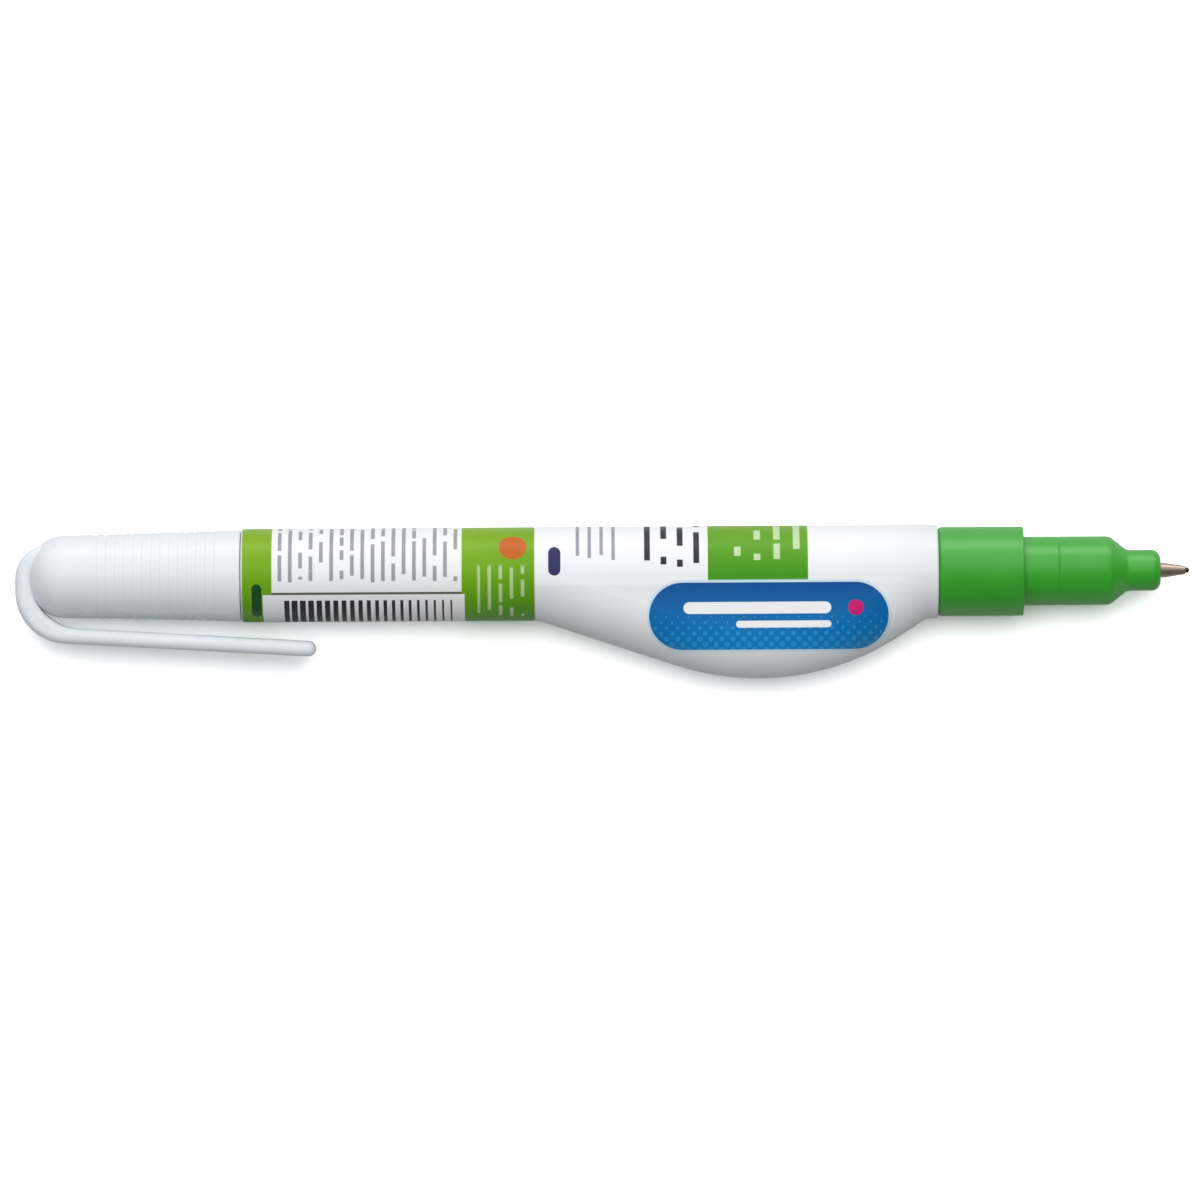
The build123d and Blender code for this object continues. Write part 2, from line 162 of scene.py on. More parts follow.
# Skin of the mouldings and of the turned metal
NOISE_SPAN = (0.3, 0.7)          # between these lie most values of a noise
MOTTLE_TO_GRAIN = 30
GRAIN_HEIGHT = 0.02
GLOSS_SPREAD = (0.9, 1.1)        # of the roughness, over the mottle
SCUFF_TURN = (0.2, 0.1, 0.35)
SCUFF_STRETCH = (0.25, 4.0, 4.0)  # scuffs are long along the pen and thin across it
SCUFF_SCALE = 1.2
SCUFF_LEVELS = (0.6, 0.75)
SCUFF_ROUGHNESS = 0.12
LATHE_SPREAD = (0.8, 1.3)        # of the roughness, over the lines
LATHE_HEIGHT = 0.01
LATHE_STRENGTH = 0.3
PLAIN_SPECULAR = 0.5
PRINTED_SPECULAR = 0.3
GREEN_SPECULAR = 1.0

# Printing inks, as linear colours
INK_DARK = (0.03, 0.03, 0.04, 1)
INK_NAVY = (0.03, 0.03, 0.12, 1)
INK_GREY = (0.36, 0.36, 0.40, 1)
INK_OLIVE = (0.13, 0.14, 0.10, 1)
INK_WHITE = (0.955, 0.958, 0.962, 1)
# Lit and shaded copies of the same green ink: the green print is painted lighter where the light falls
# and deeper where shade falls
INK_GREEN_LIT = (0.235, 0.455, 0.004, 1)
INK_GREEN_SHADED = (0.05, 0.33, 0.008, 1)
INK_BLUE = (0.002, 0.23, 0.58, 1)
INK_DEEP_BLUE = (0.0, 0.085, 0.32, 1)
INK_SKY = (0.02, 0.30, 0.70, 1)
INK_ICE = (0.66, 0.82, 0.92, 1)
INK_PINK = (0.62, 0.01, 0.16, 1)
INK_PALE = (0.58, 0.76, 0.42, 1)
INK_BOTTLE = (0.008, 0.085, 0.012, 1)
INK_AMBER = (0.60, 0.13, 0.008, 1)

# Plastics, rubber and metals, each from its darkest to its lightest shade
MILKY_BARREL = ((0.86, 0.872, 0.883, 1), (0.89, 0.899, 0.908, 1))
FRONT_GREEN = ((0.020, 0.375, 0.008, 1), (0.028, 0.415, 0.012, 1))
CAP_WHITE = ((0.84, 0.89, 0.925, 1), (0.875, 0.92, 0.955, 1))
LINER_CREAM = ((0.70, 0.70, 0.66, 1), (0.78, 0.78, 0.75, 1))
ACETAL_CREAM = ((0.80, 0.79, 0.74, 1), (0.86, 0.85, 0.81, 1))
GASKET_BLACK = ((0.05, 0.05, 0.05, 1), (0.08, 0.08, 0.08, 1))
TIP_ALLOY = ((0.44, 0.33, 0.26, 1), (0.62, 0.49, 0.40, 1))
NEEDLE_STEEL = ((0.07, 0.06, 0.055, 1), (0.13, 0.115, 0.105, 1))
WIRE_STEEL = ((0.42, 0.42, 0.43, 1), (0.58, 0.58, 0.59, 1))
BALL_STEEL = ((0.52, 0.52, 0.53, 1), (0.62, 0.62, 0.63, 1))

# Table top
FLOOR_SIZE = 12000
FLOOR_DROP = 0.02                # under the pen's lowest plane
FLOOR_LEVELS = (0.64, 0.68)      # on the belly's side and behind the pen; darker on the belly's side, as painted shade in the light that the table throws back onto the pen
FLOOR_SHOWN = 2.1                # for the camera, so that the lit table is white and keeps its shadow
FLOOR_MIRRORED = (0.5, 0.88)     # in front and behind, for rays that are mirrored or come through glass; darker in front and lighter behind, as painted shade and painted light that glossy edges mirror
FLOOR_BLEND = 12                 # half width of the change from front to back, under the pen

# Lamps and dome
LAMP_DISTANCE = 900
SOFTBOX_TILT = math.radians(18)  # from straight up towards the pen's back
SOFTBOX_SIZE = (800, 700)
SOFTBOX_POWER = 4.92
BACK_LAMP_TILT = math.radians(74)  # low behind the pen, where glossy edges mirror it
BACK_LAMP_SIZE = (1400, 380)
BACK_LAMP_POWER = 2.5
DOME_COLOUR = (0.97, 0.985, 1.0, 1)
DOME_SPAN = (-0.3, 1.0)          # share of a direction that points to the pen's back
DOME_LEVELS = (0.23, 1.11)       # brightness at the two ends of that span
DOME_ENDS = 0.35                 # share that is left in line with the pen
DOME_LOW = 0.72                  # share that is left near the table
DOME_LOW_END = 0.6               # height in the dome from which all of it is left


class Sketch:
    """Short calls that write a node tree; most give back the socket that the next call takes."""

    def __init__(self, tree):
        self.tree = tree

    def add(self, kind, inputs=(), **settings):
        """New node with its settings and inputs."""
        node = self.tree.nodes.new(kind)
        for name, value in settings.items():
            setattr(node, name, value)
        for name, value in dict(inputs).items():
            self.feed(node.inputs[name], value)
        return node

    def feed(self, socket, value):
        """Link a socket to another one, or give it a plain value."""
        if isinstance(value, bpy.types.NodeSocket):
            self.tree.links.new(value, socket)
        else:
            socket.default_value = value

    def math(self, operation, *values):
        """Sum, product or comparison of numbers."""
        node = self.tree.nodes.new("ShaderNodeMath")
        node.operation = operation
        for socket, value in zip(node.inputs, values):
            self.feed(socket, value)
        return node.outputs[0]

    def both(self, first, *others):
        """Where all masks hold."""
        for other in others:
            first = self.math("MULTIPLY", first, other)
        return first

    def ranged(self, value, low, high, to_low, to_high, blend="LINEAR"):
        """Value between low and high, stretched to another range and held at its ends."""
        node = self.add("ShaderNodeMapRange", interpolation_type=blend)
        for socket, number in zip(node.inputs, (value, low, high, to_low, to_high)):
            self.feed(socket, number)
        return node.outputs[0]

    def mix(self, mask, below, above):
        """Colour that goes from below to above with the mask."""
        node = self.add("ShaderNodeMix", data_type="RGBA")
        sockets = [socket for socket in node.inputs if socket.enabled]
        for socket, value in zip(sockets, (mask, below, above)):
            self.feed(socket, value)
        return next(socket for socket in node.outputs if socket.enabled)

    def noise(self, vector, scale, detail=2.0, roughness=0.5):
        """Level of a noise texture."""
        inputs = {"Vector": vector, "Scale": scale, "Detail": detail, "Roughness": roughness}
        return self.add("ShaderNodeTexNoise", inputs).outputs[0]

    def vector(self, x, y, z):
        """Vector of three numbers."""
        return self.add("ShaderNodeCombineXYZ", {"X": x, "Y": y, "Z": z}).outputs[0]

    def bump(self, height, strength, distance, **others):
        """Normal of a surface that is raised by a height."""
        inputs = {"Height": height, "Strength": strength, "Distance": distance * MM, **others}
        return self.add("ShaderNodeBump", inputs).outputs[0]

    def group(self, tree, **inputs):
        """Outputs of a node group; an underscore in an input's name is a space."""
        node = self.add("ShaderNodeGroup", node_tree=tree)
        for name, value in inputs.items():
            self.feed(node.inputs[name.replace("_", " ")], value)
        return node.outputs


def new_group(name, inputs, outputs):
    """Empty node group with named number sockets: its Sketch, what it is given, and what it puts out."""
    tree = bpy.data.node_groups.new(name, "ShaderNodeTree")
    for socket in inputs:
        tree.interface.new_socket(socket, in_out="INPUT", socket_type="NodeSocketFloat")
    for socket in outputs:
        tree.interface.new_socket(socket, in_out="OUTPUT", socket_type="NodeSocketFloat")
    sketch = Sketch(tree)
    return sketch, sketch.add("NodeGroupInput").outputs, sketch.add("NodeGroupOutput").inputs


def make_place_group():
    """Where a point lies: along the pen, across it, up, and degrees round the axis from straight up."""
    sketch, _, out = new_group("place_on_pen", (), ("Along", "Across", "Up", "Angle"))
    point = sketch.add("ShaderNodeTexCoord").outputs["Object"]
    parts = sketch.add("ShaderNodeSeparateXYZ", {"Vector": point}).outputs
    for axis, name in zip(parts, ("Along", "Across", "Up")):
        sketch.feed(out[name], sketch.math("DIVIDE", axis, MM))
    below = sketch.math("MULTIPLY", parts["Y"], -1.0)
    turn = sketch.math("ARCTAN2", below, parts["Z"])
    sketch.feed(out["Angle"], sketch.math("DEGREES", turn))
    return sketch.tree


def make_band_group():
    """Mask of a printed band: one between From and To, with a soft edge."""
    sketch, given, out = new_group("printed_band", ("Value", "From", "To", "Soft"), ("Mask",))
    half = sketch.math("DIVIDE", given["Soft"], 2.0)
    rise_end = sketch.math("ADD", given["From"], half)
    rise_start = sketch.math("SUBTRACT", given["From"], half)
    fall_start = sketch.math("SUBTRACT", given["To"], half)
    fall_end = sketch.math("ADD", given["To"], half)
    rise = sketch.ranged(given["Value"], rise_start, rise_end, 0.0, 1.0)
    fall = sketch.ranged(given["Value"], fall_start, fall_end, 1.0, 0.0)
    sketch.feed(out["Mask"], sketch.math("MULTIPLY", rise, fall))
    return sketch.tree


def make_lines_group(band_tree):
    """Mask of rows of plain dashes with ragged ends."""
    inputs = ("Row place", "Run place", "Pitch", "Width", "Dash", "End", "Ragged", "Seed")
    sketch, given, out = new_group("dash_rows", inputs, ("Mask",))

    # Long sides of the dashes
    rows = sketch.math("DIVIDE", given["Row place"], given["Pitch"])
    row = sketch.math("FLOOR", rows)
    in_row = sketch.math("MULTIPLY", sketch.math("FRACT", rows), given["Pitch"])
    middle = sketch.math("DIVIDE", given["Pitch"], 2.0)
    half_width = sketch.math("DIVIDE", given["Width"], 2.0)
    low = sketch.math("SUBTRACT", middle, half_width)
    high = sketch.math("ADD", middle, half_width)
    stroke = sketch.group(band_tree, Value=in_row, From=low, To=high, Soft=DASH_SOFT)["Mask"]

    # Gaps along a row, other ones in each row
    run = sketch.math("DIVIDE", given["Run place"], given["Dash"])
    shuffled = sketch.math("MULTIPLY", row, DASH_SHUFFLE)
    uneven = sketch.noise(sketch.vector(run, shuffled, given["Seed"]), scale=1.0, detail=0.0)
    gaps = sketch.ranged(uneven, *DASH_BREAK, 0.0, 1.0)

    # Ragged end of the rows
    draw = {"W": sketch.math("ADD", row, given["Seed"])}
    chance = sketch.add("ShaderNodeTexWhiteNoise", draw, noise_dimensions="1D").outputs[0]
    cut = sketch.math("MULTIPLY", chance, given["Ragged"])
    row_end = sketch.math("SUBTRACT", given["End"], cut)
    before_end = sketch.math("LESS_THAN", given["Run place"], row_end)
    sketch.feed(out["Mask"], sketch.both(stroke, gaps, before_end))
    return sketch.tree


def make_capsule_group():
    """Distance to the outline of a printed capsule, negative inside it."""
    inputs = ("Along", "Across", "Centre along", "Centre across", "Half length", "Half height")
    sketch, given, out = new_group("printed_capsule", inputs, ("Distance",))
    from_x = sketch.math("SUBTRACT", given["Along"], given["Centre along"])
    from_y = sketch.math("SUBTRACT", given["Across"], given["Centre across"])
    straight = sketch.math("SUBTRACT", given["Half length"], given["Half height"])
    past = sketch.math("SUBTRACT", sketch.math("ABSOLUTE", from_x), straight)
    past = sketch.math("MAXIMUM", past, 0.0)
    squares = [sketch.math("MULTIPLY", side, side) for side in (past, from_y)]
    from_middle = sketch.math("SQRT", sketch.math("ADD", *squares))
    sketch.feed(out["Distance"], sketch.math("SUBTRACT", from_middle, given["Half height"]))
    return sketch.tree


def make_dots_group():
    """Distance from the middle of the nearest dot of a slanting dot screen."""
    sketch, given, out = new_group("dot_screen", ("Along", "Across", "Pitch"), ("Distance",))
    slant = sketch.math("MULTIPLY", given["Pitch"], math.sqrt(2))
    squares = []
    for operation in ("ADD", "SUBTRACT"):
        turned_place = sketch.math(operation, given["Along"], given["Across"])
        in_cell = sketch.math("FRACT", sketch.math("DIVIDE", turned_place, slant))
        step = sketch.math("MULTIPLY", sketch.math("SUBTRACT", in_cell, 0.5), given["Pitch"])
        squares.append(sketch.math("MULTIPLY", step, step))
    sketch.feed(out["Distance"], sketch.math("SQRT", sketch.math("ADD", *squares)))
    return sketch.tree


def make_skin_group():
    """Skin of a moulding: fine grain for the bump, broad mottle, and scuffs that run along the pen."""
    outputs = ("Grain", "Mottle", "Scuff")
    sketch, given, out = new_group("moulded_skin", ("Grain size", "Mottle size"), outputs)
    point = sketch.add("ShaderNodeTexCoord").outputs["Object"]
    in_mm = sketch.add("ShaderNodeVectorMath", {"Vector": point, "Scale": 1 / MM}, operation="SCALE")
    place = in_mm.outputs["Vector"]
    for name, detail in (("Grain", 3.0), ("Mottle", 2.0)):
        scale = sketch.math("DIVIDE", 1.0, given[name + " size"])
        sketch.feed(out[name], sketch.noise(place, scale, detail))
    turned = {"Vector": place, "Rotation": SCUFF_TURN, "Scale": SCUFF_STRETCH}
    drawn = sketch.add("ShaderNodeMapping", turned).outputs[0]
    streaks = sketch.noise(drawn, SCUFF_SCALE, detail=3.0, roughness=0.6)
    sketch.feed(out["Scuff"], sketch.ranged(streaks, *SCUFF_LEVELS, 0.0, 1.0))
    return sketch.tree


PLACE = make_place_group()
BAND = make_band_group()
LINES = make_lines_group(BAND)
CAPSULE = make_capsule_group()
DOTS = make_dots_group()
SKIN = make_skin_group()


def new_finish(name, specular):
    """Empty material with its Sketch and Principled shader."""
    material = bpy.data.materials.new(name)
    material.use_nodes = True
    sketch = Sketch(material.node_tree)
    shader = material.node_tree.nodes["Principled BSDF"]
    shader.inputs["Specular IOR Level"].default_value = specular
    return material, sketch, shader


def moulded(sketch, shader, grain, roughness, bump):
    """Grain, scuffs and uneven gloss of a moulding; gives back the skin's masks and the normal."""
    skin = sketch.group(SKIN, Grain_size=grain, Mottle_size=grain * MOTTLE_TO_GRAIN)
    rough_ends = [roughness * share for share in GLOSS_SPREAD]
    glossy = sketch.ranged(skin["Mottle"], *NOISE_SPAN, *rough_ends)
    worn = sketch.math("MULTIPLY", skin["Scuff"], SCUFF_ROUGHNESS)
    sketch.feed(shader.inputs["Roughness"], sketch.math("ADD", glossy, worn))
    raised = sketch.bump(skin["Grain"], bump, GRAIN_HEIGHT)
    sketch.feed(shader.inputs["Normal"], raised)
    return skin, raised


def clouded(sketch, skin, shades):
    """Colour of a moulding, which clouds slightly between its two shades."""
    clouds = sketch.ranged(skin["Mottle"], *NOISE_SPAN, 0.0, 1.0)
    return sketch.mix(clouds, *shades)


def plain_moulding(name, shades, roughness, grain=0.25, bump=0.25, specular=PLAIN_SPECULAR):
    """Plastic or rubber in one colour."""
    material, sketch, shader = new_finish(name, specular)
    skin, _ = moulded(sketch, shader, grain, roughness, bump)
    sketch.feed(shader.inputs["Base Color"], clouded(sketch, skin, shades))
    return material


def turned_metal(name, shades, roughness, pitch):
    """Metal with fine lines left by turning, or by drawing, round the pen's axis."""
    material, sketch, shader = new_finish(name, PLAIN_SPECULAR)
    place = sketch.group(PLACE)
    lines = sketch.noise(sketch.vector(place["Along"], 0.0, 0.0), 1 / pitch)
    rough_ends = [roughness * share for share in LATHE_SPREAD]
    sketch.feed(shader.inputs["Base Color"], sketch.mix(lines, *shades))
    sketch.feed(shader.inputs["Roughness"], sketch.ranged(lines, *NOISE_SPAN, *rough_ends))
    sketch.feed(shader.inputs["Normal"], sketch.bump(lines, LATHE_STRENGTH, LATHE_HEIGHT))
    shader.inputs["Metallic"].default_value = 1.0
    return material


def band(sketch, value, start, stop, soft=EDGE_SOFT):
    """Mask between two places."""
    return sketch.group(BAND, Value=value, From=start, To=stop, Soft=soft)["Mask"]


def dash_rows(sketch, row_place, run_place, pitch, width, dash, end, ragged, seed):
    """Mask of plain dashes in rows."""
    return sketch.group(
        LINES,
        Row_place=row_place,
        Run_place=run_place,
        Pitch=pitch,
        Width=width,
        Dash=dash,
        End=end,
        Ragged=ragged,
        Seed=seed,
    )["Mask"]


def capsule(sketch, run, row, centre, half):
    """Distance to a capsule whose length follows run and whose height follows row."""
    return sketch.group(
        CAPSULE,
        Along=run,
        Across=row,
        Centre_along=centre[0],
        Centre_across=centre[1],
        Half_length=half[0],
        Half_height=half[1],
    )["Distance"]


def inside(sketch, distance, soft=EDGE_SOFT):
    """Mask of what lies inside an outline."""
    return sketch.ranged(distance, -soft / 2, soft / 2, 1.0, 0.0)


def film_finish():
    """Printed film: green bands round the barrel, and a white panel with dashes and bars."""
    material, sketch, shader = new_finish("printed_film", PRINTED_SPECULAR)
    place = sketch.group(PLACE)
    along = place["Along"]
    angle = place["Angle"]
    round_way = sketch.math("MULTIPLY", angle, math.radians(FILM_RADIUS))
    panel_rear = FILM_REAR + REAR_BAND_WIDTH

    # Green, painted lighter towards the back and top where the light falls and deeper towards the belly
    # side as painted shade; it also deepens towards the front
    painted_shade = sketch.ranged(angle, *FILM_PAINTED_SHADE_ANGLES, 0.0, FILM_PAINTED_SHADE_DEPTH)
    forward = sketch.ranged(along, PANEL_FRONT, FILM_FRONT, 0.0, FILM_FRONT_DEPTH)
    green = sketch.mix(sketch.math("ADD", painted_shade, forward), INK_GREEN_LIT, INK_GREEN_SHADED)

    # White panel, which is longer under the rule
    panel = band(sketch, along, panel_rear, PANEL_FRONT)
    longer = band(sketch, along, panel_rear - STRIP_LEAD, PANEL_FRONT + PANEL_MARGIN)
    under_rule = band(sketch, angle, RULE_ANGLES[1], STRIP_GROUND_END, STRIP_SOFT)
    white = sketch.math("MAXIMUM", panel, sketch.both(longer, under_rule))
    colour = sketch.mix(white, green, INK_WHITE)

    # Pale strokes in the green block
    block_rows = sketch.math("SUBTRACT", along, PANEL_FRONT)
    strokes = dash_rows(sketch, block_rows, round_way, **FILM_STROKES)
    behind, ahead = FILM_STROKES_MARGINS
    in_block = band(sketch, along, PANEL_FRONT + behind, FILM_FRONT - ahead)
    below_top = band(sketch, round_way, *FILM_STROKES_ROUND, FILM_STROKES_SOFT)
    pale = sketch.both(strokes, in_block, below_top, FILM_STROKES_COVER)
    colour = sketch.mix(pale, colour, INK_PALE)

    # Dark bar in the rear band, and an amber spot in the block
    bar_centre = (BAR_CENTRE[1], FILM_REAR + BAR_CENTRE[0])
    bar = capsule(sketch, round_way, along, bar_centre, BAR_HALF[::-1])
    colour = sketch.mix(inside(sketch, bar), colour, INK_BOTTLE)
    spot_centre = (FILM_FRONT + AMBER_CENTRE[0], AMBER_CENTRE[1])
    spot = capsule(sketch, along, round_way, spot_centre, (AMBER_RADIUS, AMBER_RADIUS))
    colour = sketch.mix(inside(sketch, spot), colour, INK_AMBER)

    # Rows of dashes in the white panel
    panel_rows = sketch.math("SUBTRACT", along, panel_rear + PANEL_MARGIN)
    dashes = dash_rows(sketch, panel_rows, round_way, **FILM_ROWS)
    in_panel = band(sketch, along, panel_rear + PANEL_MARGIN, PANEL_FRONT - PANEL_MARGIN)
    rows_side = band(sketch, angle, *FILM_ROWS_ANGLES, FILM_ROWS_SOFT)
    colour = sketch.mix(sketch.both(dashes, in_panel, rows_side), colour, INK_GREY)

    # Rule under the rows, and a strip of even bars that get thinner to the front
    rule = band(sketch, angle, *RULE_ANGLES, RULE_SOFT)
    colour = sketch.mix(sketch.both(rule, panel), colour, INK_OLIVE)
    share = sketch.ranged(along, panel_rear, PANEL_FRONT, *STRIP_SHARES)
    in_pitch = sketch.math("FRACT", sketch.math("DIVIDE", panel_rows, STRIP_PITCH))
    inked = sketch.math("LESS_THAN", in_pitch, share)
    in_strip = band(sketch, angle, *STRIP_ANGLES, STRIP_SOFT)
    behind, ahead = STRIP_MARGINS
    strip_length = band(sketch, along, panel_rear + behind, PANEL_FRONT - ahead)
    colour = sketch.mix(sketch.both(inked, in_strip, strip_length), colour, INK_DARK)

    moulded(sketch, shader, grain=0.4, roughness=0.3, bump=0.12)
    sketch.feed(shader.inputs["Base Color"], colour)
    return material


def barrel_finish():
    """Squeeze bottle in milky plastic, with white print, a green block and a blue field on it."""
    material, sketch, shader = new_finish("white_barrel", PRINTED_SPECULAR)
    place = sketch.group(PLACE)
    along = place["Along"]
    across = place["Across"]
    round_way = sketch.math("MULTIPLY", place["Angle"], math.radians(BARREL_RADIUS))
    upper = sketch.math("GREATER_THAN", place["Up"], 0.0)
    skin, grain = moulded(sketch, shader, grain=0.3, roughness=0.36, bump=0.2)
    colour = clouded(sketch, skin, MILKY_BARREL)

    # White print over the back half, which thins out towards the front
    over_edge = band(sketch, across, WHITE_EDGE_Y, PAST_BACK, WHITE_EDGE_SOFT)
    thinned = sketch.ranged(along, *WHITE_FADE, 1.0, 0.0)
    colour = sketch.mix(sketch.both(over_edge, thinned), colour, INK_WHITE)

    # Green block with pale strokes; its green is painted lighter on the side that faces the pen's back,
    # where the light falls, and deeper from the top on towards the belly as painted shade
    block_edge = band(sketch, across, WHITE_EDGE_Y, PAST_BACK)
    block = sketch.both(band(sketch, along, BLOCK_REAR, BLOCK_FRONT), block_edge)
    painted_shade = sketch.ranged(place["Angle"], *BLOCK_SHADE_ANGLES, *BLOCK_SHADE_DEPTHS)
    colour = sketch.mix(block, colour, sketch.mix(painted_shade, INK_GREEN_LIT, INK_GREEN_SHADED))
    block_rows = sketch.math("SUBTRACT", along, BLOCK_REAR)
    strokes = dash_rows(sketch, block_rows, round_way, **BLOCK_STROKES)
    in_block = band(sketch, along, BLOCK_REAR + BLOCK_STROKES_MARGIN, BLOCK_FRONT)
    colour = sketch.mix(sketch.both(strokes, in_block, upper), colour, INK_PALE)

    # Rows of dashes between the film and the green block, fine ones and then bold ones
    for stretch, rows, ink in (
        (FINE_STRETCH, FINE_ROWS, INK_GREY),
        (BOLD_STRETCH, BOLD_ROWS, INK_DARK),
    ):
        row_place = sketch.math("SUBTRACT", along, stretch[0])
        dashes = dash_rows(sketch, row_place, round_way, **rows)
        in_stretch = band(sketch, along, *stretch)
        colour = sketch.mix(sketch.both(dashes, in_stretch, upper), colour, ink)

    # Upright tablet next to the film
    tablet = capsule(sketch, across, along, TABLET_CENTRE[::-1], TABLET_HALF[::-1])
    colour = sketch.mix(sketch.both(inside(sketch, tablet), upper), colour, INK_NAVY)

    # Blue of the capsule on the upper flank, with a dot screen, two strokes and a spot
    field_top = FIELD_CENTRE[1] + FIELD_HALF[1]
    field_bottom = FIELD_CENTRE[1] - FIELD_HALF[1]
    way_down = sketch.ranged(across, field_top, field_bottom, 0.0, 1.0)
    blue = sketch.mix(way_down, INK_DEEP_BLUE, INK_BLUE)
    dots = sketch.group(DOTS, Along=along, Across=across, Pitch=DOT_PITCH)["Distance"]
    dot_radius = sketch.ranged(way_down, DOT_START, 1.0, 0.0, DOT_PITCH * DOT_LARGEST)
    dotted = inside(sketch, sketch.math("SUBTRACT", dots, dot_radius))
    blue = sketch.mix(dotted, blue, INK_SKY)
    for centre, half, ink in (
        (STROKE_CENTRE, STROKE_HALF, INK_WHITE),
        (SHORT_STROKE_CENTRE, SHORT_STROKE_HALF, INK_WHITE),
        (SPOT_CENTRE, (SPOT_RADIUS, SPOT_RADIUS), INK_PINK),
    ):
        mark = capsule(sketch, along, across, centre, half)
        blue = sketch.mix(inside(sketch, mark), blue, ink)

    # The capsule itself, with a pale rim
    field = capsule(sketch, along, across, FIELD_CENTRE, FIELD_HALF)
    rimmed = inside(sketch, sketch.math("SUBTRACT", field, FIELD_RIM), FIELD_RIM_SOFT)
    colour = sketch.mix(sketch.both(rimmed, upper), colour, INK_ICE)
    colour = sketch.mix(sketch.both(inside(sketch, field), upper), colour, blue)
    sketch.feed(shader.inputs["Base Color"], colour)

    # Parting line of the mould, round the bottle in the plane of its belly
    half_line = PARTING_WIDTH / 2
    parting = band(sketch, place["Up"], -half_line, half_line, PARTING_WIDTH)
    ridge = sketch.bump(parting, PARTING_STRENGTH, PARTING_HEIGHT, Normal=grain)
    sketch.feed(shader.inputs["Normal"], ridge)
    return material


def give_finish(node, material):
    """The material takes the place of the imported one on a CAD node."""
    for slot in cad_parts[node].material_slots:
        slot.material = material


def link_mesh(name, shape, material):
    """Object of a finished bmesh, in the scene."""
    mesh = bpy.data.meshes.new(name)
    shape.to_mesh(mesh)
    shape.free()
    mesh.materials.append(material)
    piece = bpy.data.objects.new(name, mesh)
    bpy.context.scene.collection.objects.link(piece)
    return piece


def make_spring(material):
    """Coil spring behind the needle, spun from the end of a wire.
    """
    low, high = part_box("needle_spring")
    half_wire = SPRING_WIRE / 2 * MM
    steps = SPRING_TURNS * TURN_STEPS
    rise = (high.x - low.x - half_wire * 2) / steps
    coil = bmesh.new()
    wire_end = bmesh.ops.create_circle(coil, cap_ends=True, segments=WIRE_SIDES, radius=half_wire)
    start = (low.x + half_wire, high.y - half_wire, 0)
    bmesh.ops.translate(coil, verts=wire_end["verts"], vec=start)
    bmesh.ops.spin(
        coil,
        geom=coil.verts[:] + coil.edges[:] + coil.faces[:],
        axis=(1, 0, 0),
        dvec=(rise, 0, 0),
        angle=math.tau * SPRING_TURNS,
        steps=steps,
    )
    bmesh.ops.recalc_face_normals(coil, faces=coil.faces)
    for face in coil.faces:
        face.smooth = len(face.verts) == 4
    spring = link_mesh("coil_spring", coil, material)
    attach(spring, "pen")
    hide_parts("needle_spring")
    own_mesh(spring)


def dress():
    """A finish for every piece of the pen."""
    green = plain_moulding("green_plastic", FRONT_GREEN, roughness=0.34, specular=GREEN_SPECULAR)
    acetal = plain_moulding("natural_acetal", ACETAL_CREAM, roughness=0.5)
    drawn_wire = turned_metal("spring_steel", WIRE_STEEL, roughness=0.3, pitch=0.08)
    finishes = {
        "barrel": barrel_finish(),
        "label_sleeve": film_finish(),
        "front_collar": green,
        "nozzle": green,
        "neck_gasket": plain_moulding("seal_rubber", GASKET_BLACK, roughness=0.7),
        "writing_tip": turned_metal("nickel_silver", TIP_ALLOY, roughness=0.28, pitch=0.06),
        "valve_needle": turned_metal("needle_steel", NEEDLE_STEEL, roughness=0.34, pitch=0.05),
        "needle_carrier": acetal,
        "needle_spring": drawn_wire,
        "spring_retainer": acetal,
        "mixing_ball": turned_metal("ball_steel", BALL_STEEL, roughness=0.18, pitch=0.4),
        "cap": plain_moulding("white_cap", CAP_WHITE, roughness=0.3),
        "cap_liner": plain_moulding("liner_plastic", LINER_CREAM, roughness=0.6),
    }
    for node, material in finishes.items():
        give_finish(node, material)
    make_spring(drawn_wire)


def make_floor():
    """White table top that keeps the pen's shadow."""
    material = bpy.data.materials.new("table_white")
    material.use_nodes = True
    material.node_tree.nodes.clear()
    sketch = Sketch(material.node_tree)
    path = sketch.add("ShaderNodeLightPath").outputs
    place = sketch.add("ShaderNodeTexCoord").outputs["Object"]
    across = sketch.add("ShaderNodeSeparateXYZ", {"Vector": place}).outputs["Y"]
    blend = FLOOR_BLEND * MM
    # The table is painted darker on the belly's side than behind the pen, as painted shade and light for
    # the bounce and for mirrored rays
    plain = sketch.ranged(across, -blend, blend, *FLOOR_LEVELS, "SMOOTHSTEP")
    mirrored = sketch.ranged(across, -blend, blend, *FLOOR_MIRRORED, "SMOOTHSTEP")
    beyond = sketch.math("MAXIMUM", path["Is Glossy Ray"], path["Is Transmission Ray"])
    level = sketch.ranged(beyond, 0.0, 1.0, plain, mirrored)
    shown = sketch.math("MULTIPLY", path["Is Camera Ray"], FLOOR_SHOWN)
    level = sketch.math("MAXIMUM", level, shown)
    colour = sketch.vector(level, level, level)
    matt = sketch.add("ShaderNodeBsdfDiffuse", {"Color": colour}).outputs[0]
    sketch.add("ShaderNodeOutputMaterial", {"Surface": matt})

    sheet = bmesh.new()
    bmesh.ops.create_grid(sheet, x_segments=1, y_segments=1, size=FLOOR_SIZE / 2 * MM)
    bmesh.ops.translate(sheet, verts=sheet.verts, vec=(0, 0, (FLOOR_Z - FLOOR_DROP) * MM))
    floor = link_mesh("table_top", sheet, material)


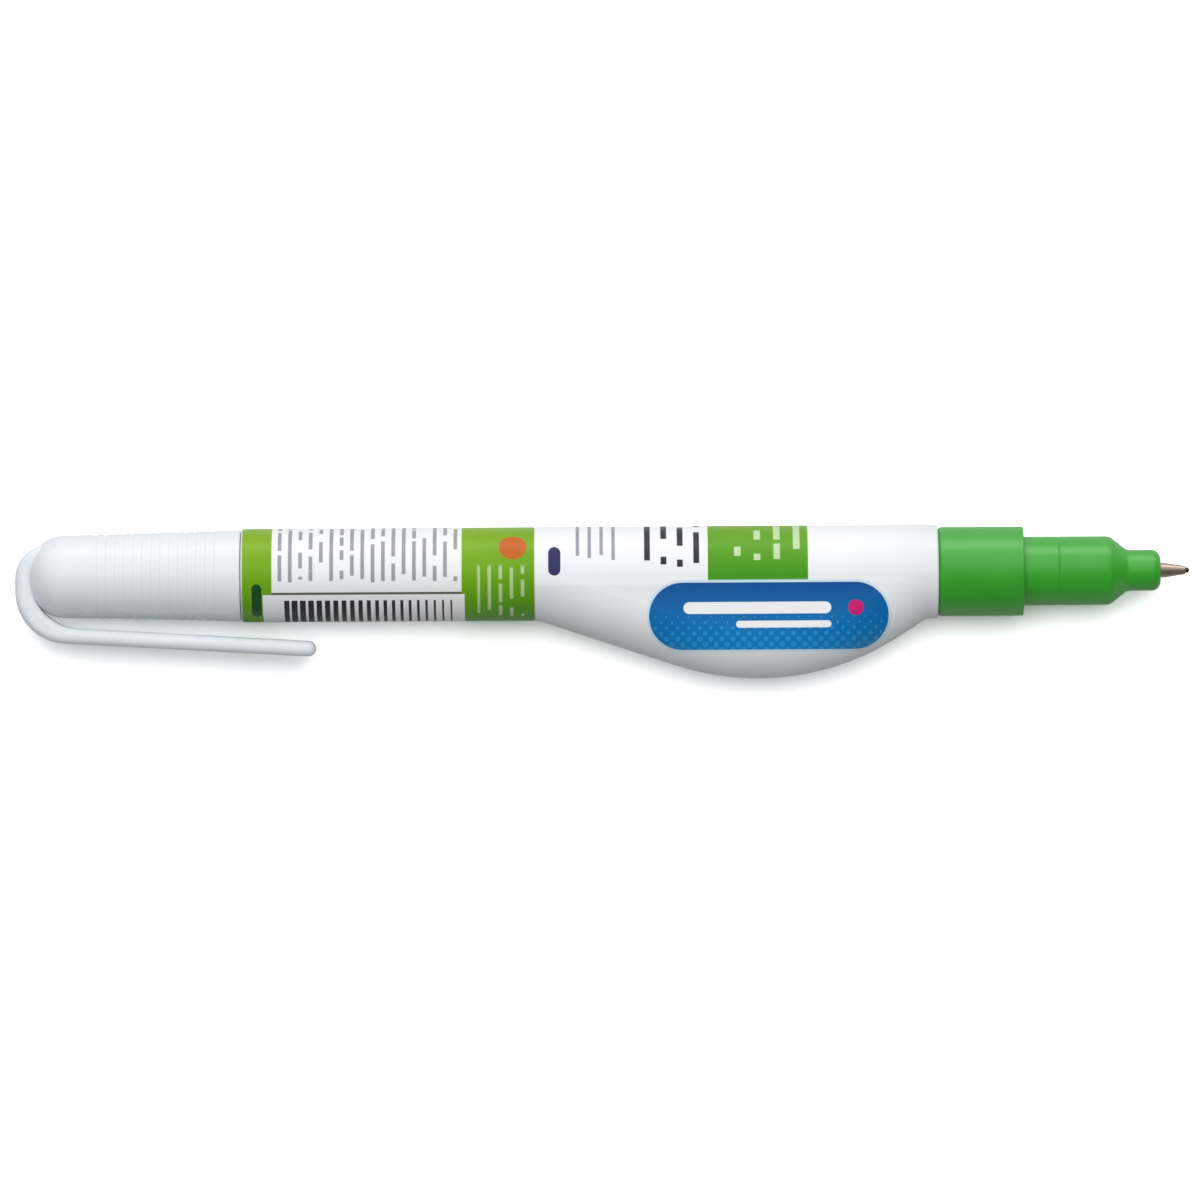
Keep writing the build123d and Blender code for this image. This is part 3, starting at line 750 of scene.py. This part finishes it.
def add_panel(name, tilt, size, power):
    """Flat lamp that faces the pen from behind, tilted from straight up."""
    lamp = bpy.data.lights.new(name, "AREA")
    lamp.shape = "RECTANGLE"
    lamp.size, lamp.size_y = (side * MM for side in size)
    lamp.energy = power
    panel = bpy.data.objects.new(name, lamp)
    middle = (cad_box[0] + cad_box[1]) / 2
    way = Vector((0, math.sin(tilt), math.cos(tilt)))
    panel.location = middle + way * LAMP_DISTANCE * MM
    panel.rotation_euler = way.to_track_quat("Z", "Y").to_euler()
    bpy.context.scene.collection.objects.link(panel)
    return panel


def make_light():
    """Softbox that lights the pen, low lamp that only glossy skins mirror, and a graded dome."""
    softbox = add_panel("softbox", SOFTBOX_TILT, SOFTBOX_SIZE, SOFTBOX_POWER)
    softbox.visible_glossy = False
    back_lamp = add_panel("back_lamp", BACK_LAMP_TILT, BACK_LAMP_SIZE, BACK_LAMP_POWER)
    back_lamp.visible_diffuse = False

    world = bpy.data.worlds.new("studio")
    bpy.context.scene.world = world
    world.use_nodes = True
    sketch = Sketch(world.node_tree)
    background = world.node_tree.nodes["Background"]
    way = sketch.add("ShaderNodeTexCoord").outputs["Generated"]
    way = sketch.add("ShaderNodeSeparateXYZ", {"Vector": way}).outputs
    graded = sketch.ranged(way["Y"], *DOME_SPAN, *DOME_LEVELS, "SMOOTHSTEP")
    to_ends = sketch.math("MULTIPLY", way["X"], way["X"])
    off_ends = sketch.ranged(to_ends, 0.0, 1.0, 1.0, DOME_ENDS)
    raised = sketch.ranged(way["Z"], 0.0, DOME_LOW_END, DOME_LOW, 1.0)
    sketch.feed(background.inputs["Strength"], sketch.both(graded, off_ends, raised))
    background.inputs["Color"].default_value = DOME_COLOUR


def make_camera():
    """Camera straight over the pen, far off with a long lens."""
    data = bpy.data.cameras.new("camera")
    data.lens = data.sensor_width * CAMERA_HEIGHT / PICTURE_WIDTH
    camera = bpy.data.objects.new("camera", data)
    middle = (cad_box[0] + cad_box[1]) / 2
    offset = Vector((*AIM_OFFSET, 0)) * MM
    camera.location = Vector((middle.x, middle.y, CAMERA_HEIGHT * MM)) + offset
    camera.rotation_euler = (0, 0, PICTURE_ROLL)
    bpy.context.scene.collection.objects.link(camera)
    bpy.context.scene.camera = camera


dress()
make_floor()
make_light()
make_camera()
bpy.context.scene.view_settings.view_transform = "Standard"
